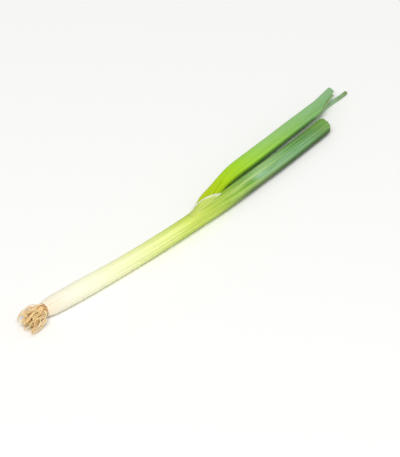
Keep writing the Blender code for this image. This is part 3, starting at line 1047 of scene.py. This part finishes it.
def outer_look():
    leaf = Leaf("outer_leaf_skin")
    colour, _ = sheath_colours(leaf)
    # Pale veins that stand out where the blade has just left the sheath
    near_mouth = leaf.math(
        "MULTIPLY",
        leaf.between(leaf.along, 0.186, 0.200),
        leaf.between(leaf.along, 0.222, 0.262, 1.0, 0.18),
    )
    lines = leaf.noise(leaf.scaled(leaf.coat, (1.25, 1.25, 0.008)), detail=1.5)
    lines = leaf.math("MULTIPLY", leaf.between(lines, 0.52, 0.58, 0.0, 0.85), near_mouth)
    colour = leaf.mix(lines, colour, rgb("d2e890"))
    # A grey-blue bloom lies in a streak along the upper side, brightest where it starts; it is
    # centred on the side that faces the camera, so it is partly a painted highlight
    bloom_and_highlight = leaf.math(
        "MULTIPLY",
        leaf.between(leaf.towards(CAMERA_SIDE + 3), 0.84, 0.985),
        leaf.math(
            "MULTIPLY",
            leaf.between(leaf.along, 0.210, 0.232),
            leaf.between(leaf.along, 0.270, 0.300, 1.0, 0.2),
        ),
    )
    patchy = leaf.noise(leaf.scaled(leaf.coat, (0.55, 0.55, 0.05)), detail=4.0, distortion=0.3)
    bloom_and_highlight = leaf.math("MULTIPLY", bloom_and_highlight, leaf.between(patchy, 0.38, 0.58, 0.12, 0.70))
    colour = leaf.mix(bloom_and_highlight, colour, rgb("8ab492"))
    # A pale grey-blue patch where the streak starts, on the side facing the camera: partly bloom,
    # partly painted highlight
    start = leaf.math(
        "MULTIPLY",
        leaf.between(leaf.along, 0.216, 0.223),
        leaf.between(leaf.along, 0.226, 0.236, 1.0, 0.0),
    )
    start = leaf.math("MULTIPLY", start, leaf.between(leaf.towards(CAMERA_SIDE - 12), 0.80, 0.98))
    start = leaf.math("MULTIPLY", start, leaf.between(leaf.fine, 0.38, 0.60, 0.05, 0.65))
    colour = leaf.mix(start, colour, rgb("a9cdae"))
    # Painted light: a paler band runs along the far, upper side, from the mouth to where the streak
    # starts
    painted_far_light = leaf.math(
        "MULTIPLY",
        leaf.between(leaf.towards(FAR_SIDE + 25), 0.40, 0.92, 0.0, 0.36),
        leaf.math(
            "MULTIPLY",
            leaf.between(leaf.along, 0.205, 0.225),
            leaf.between(leaf.along, 0.236, 0.268, 1.0, 0.0),
        ),
    )
    colour = leaf.mix(painted_far_light, colour, rgb("b8dea0"))
    # The underside is darker: partly a darker green of its own, partly painted shade
    underside_shade = leaf.math(
        "MULTIPLY",
        leaf.between(leaf.towards(NEAR_SIDE), 0.30, 0.72, 0.0, 0.95),
        leaf.between(leaf.along, 0.168, 0.212),
    )
    colour = leaf.tinted(colour, underside_shade, "6a8244")
    return leaf.finish(colour, "c4d68c", "a9ae6c", 0.70, 0.16, 0.40, 0.00020)


def mouth_look():
    """The outer leaf's skin round the mouth: it thins towards the rim into a pale, dry film."""
    leaf = Leaf("outer_leaf_mouth")
    blade, sheath = sheath_colours(leaf)
    upper = leaf.between(leaf.towards(92), 0.45, 0.80)
    colour = leaf.mix(upper, blade, sheath)
    uneven = leaf.between(leaf.mottle, 0.35, 0.60, 0.72, 1.0)
    film = leaf.math("MULTIPLY", leaf.attribute("edge"), uneven)
    colour = leaf.mix(film, colour, rgb("f6fbdc"))
    return leaf.finish(colour, "d2e49c", "f6f9e0", 0.0, 0.30, 0.38, 0.00025)


def inner_look():
    leaf = Leaf("inner_leaf_skin")
    colour = leaf.veined(leaf.by_length(INNER_STOPS), 0.28)
    bloom = leaf.noise(leaf.scaled(leaf.coat, (0.22, 0.22, 0.045)), detail=3.0, distortion=0.4)
    bloom = leaf.math(
        "MULTIPLY",
        leaf.between(bloom, 0.46, 0.66, 0.0, 0.45),
        leaf.between(leaf.along, 0.270, 0.330),
    )
    colour = leaf.mix(bloom, colour, rgb("93bc98"))
    dusty = leaf.math(
        "MULTIPLY",
        leaf.between(leaf.towards(FAR_SIDE), 0.45, 0.95, 0.0, 0.30),
        leaf.between(leaf.along, 0.225, 0.260),
    )
    colour = leaf.mix(dusty, colour, rgb("9fc890"))
    # Painted shade along the lower side, in the crevice next to the outer blade
    underside_shade = leaf.math(
        "MULTIPLY",
        leaf.between(leaf.towards(NEAR_SIDE - 10), 0.55, 0.95, 0.0, 0.8),
        leaf.between(leaf.along, 0.205, 0.220),
    )
    colour = leaf.tinted(colour, underside_shade, "8ca470")
    return leaf.finish(colour, "b8d090", "a8c890", 0.75, 0.12, 0.42, 0.00020)


def young_look():
    leaf = Leaf("young_leaf_skin")
    colour = leaf.veined(leaf.by_length(YOUNG_STOPS), 0.35)
    spots = leaf.math(
        "MULTIPLY",
        leaf.between(leaf.mottle, 0.47, 0.56, 0.0, 0.75),
        leaf.between(leaf.along, 0.338, 0.346),
    )
    colour = leaf.mix(spots, colour, rgb("5f7a34"))
    return leaf.finish(colour, "a0c080", "8aa868", 0.5, 0.10, 0.42, 0.00015)


def root_look():
    n = Nodes("dry_root")
    position = n.add("ShaderNodeTexCoord").outputs["Object"]
    tone = n.attribute("strand")
    tones = ((0.0, "e4c086"), (0.45, "f2d69e"), (0.8, "fae8c2"), (1.0, "ecc888"))
    colour = n.ramp(tone, [(place, rgb(code)) for place, code in tones])
    spots = n.noise(position, scale=700.0, detail=3.0)
    colour = n.mix(n.between(spots, 0.48, 0.72, 0.0, 0.50), colour, rgb("b88a50"))
    at_base = n.between(n.attribute("along"), 0.0, 0.14, 0.55, 0.0)
    colour = n.mix(at_base, colour, rgb("a87440"))
    n.put(colour, n.shader.inputs["Base Color"])
    n.put(n.between(spots, 0.3, 0.7, 0.62, 0.85), n.shader.inputs["Roughness"])
    n.shader.inputs["Subsurface Weight"].default_value = 0.12
    n.shader.inputs["Subsurface Scale"].default_value = 0.001
    n.bump(spots, 0.0002, 0.7)
    return n.material


def plate_look():
    n = Nodes("root_plate_skin")
    position = n.add("ShaderNodeTexCoord").outputs["Object"]
    grain = n.noise(position, scale=900.0, detail=4.0)
    colour = n.ramp(grain, [(0.3, rgb("8a6238")), (0.5, rgb("ba8c58")), (0.7, rgb("dcbc8e"))])
    n.put(colour, n.shader.inputs["Base Color"])
    n.put(n.between(grain, 0.3, 0.7, 0.75, 0.95), n.shader.inputs["Roughness"])
    n.bump(grain, 0.0004, 0.8)
    return n.material


# Floor, lights and camera


FLOOR_HALF = 9.0
FLOOR_DROP = 0.00005  # keeps the floor just below what lies on it


def floor():
    mesh = bpy.data.meshes.new("floor")
    corners = [(x * FLOOR_HALF, y * FLOOR_HALF, 0) for x, y in ((-1, -1), (1, -1), (1, 1), (-1, 1))]
    mesh.from_pydata(corners, [], [(0, 1, 2, 3)])
    obj = bpy.data.objects.new("floor", mesh)
    bpy.context.scene.collection.objects.link(obj)
    obj.location.z = -FLOOR_DROP
    n = Nodes("floor_paper")
    n.shader.inputs["Base Color"].default_value = (0.93, 0.93, 0.92, 1.0)
    n.shader.inputs["Roughness"].default_value = 0.85
    n.shader.inputs["Specular IOR Level"].default_value = 0.2
    mesh.materials.append(n.material)


def area_light(name, place, size, power, colour):
    """A round lamp, aimed at the middle of the floor."""
    data = bpy.data.lights.new(name, "AREA")
    data.shape = "DISK"
    data.size = size
    data.energy = power
    data.color = colour
    obj = bpy.data.objects.new(name, data)
    bpy.context.scene.collection.objects.link(obj)
    obj.location = place
    obj.rotation_euler = (-Vector(place)).to_track_quat("-Z", "Y").to_euler()


WORLD_STRENGTH = 0.45
KEY_PLACE = (-1.9, -1.5, 3.6)
KEY_SIZE = 3.2
KEY_POWER = 152.0
KEY_COLOUR = (1.0, 0.995, 0.98)


def lights():
    world = bpy.data.worlds.new("studio")
    bpy.context.scene.world = world
    world.use_nodes = True
    world.node_tree.nodes["Background"].inputs["Color"].default_value = (1.0, 1.0, 1.0, 1.0)
    world.node_tree.nodes["Background"].inputs["Strength"].default_value = WORLD_STRENGTH
    area_light("key", KEY_PLACE, KEY_SIZE, KEY_POWER, KEY_COLOUR)


VIEW_AZIMUTH = -47.8
VIEW_ELEVATION = 37.0
VIEW_DISTANCE = 6.0
VIEW_HEIGHT = 336.352 * MM  # how much shows, from the picture's foot to its top
SENSOR = 36.0
CENTRE_FROM_TIP = (-92.7 * MM, -76.7 * MM)  # right and up, from the outer blade's cut end


def camera():
    a, e = math.radians(VIEW_AZIMUTH), math.radians(VIEW_ELEVATION)
    back = Vector((math.sin(a) * math.cos(e), -math.cos(a) * math.cos(e), math.sin(e)))
    right = Vector((math.cos(a), math.sin(a), 0))
    up = back.cross(right)
    tip = outer_axis(AXIS_LENGTH) + STAND
    centre = tip + right * CENTRE_FROM_TIP[0] + up * CENTRE_FROM_TIP[1]
    middle = (Vector(CAD_LO) + Vector(CAD_HI)) / 2
    centre += back * (middle - centre).dot(back)
    data = bpy.data.cameras.new("camera")
    data.sensor_width = SENSOR
    data.lens = SENSOR * VIEW_DISTANCE / VIEW_HEIGHT
    data.clip_end = 50.0
    obj = bpy.data.objects.new("camera", data)
    bpy.context.scene.collection.objects.link(obj)
    obj.location = centre + back * VIEW_DISTANCE
    obj.rotation_euler = (-back).to_track_quat("-Z", "Y").to_euler()
    bpy.context.scene.camera = obj


outer_leaf(outer_look())
collar(mouth_look())
inner_leaf(inner_look())
young_leaf(young_look())
root_plate(plate_look())
roots(root_look())
floor()
lights()
camera()
bpy.context.scene.view_settings.view_transform = "Standard"
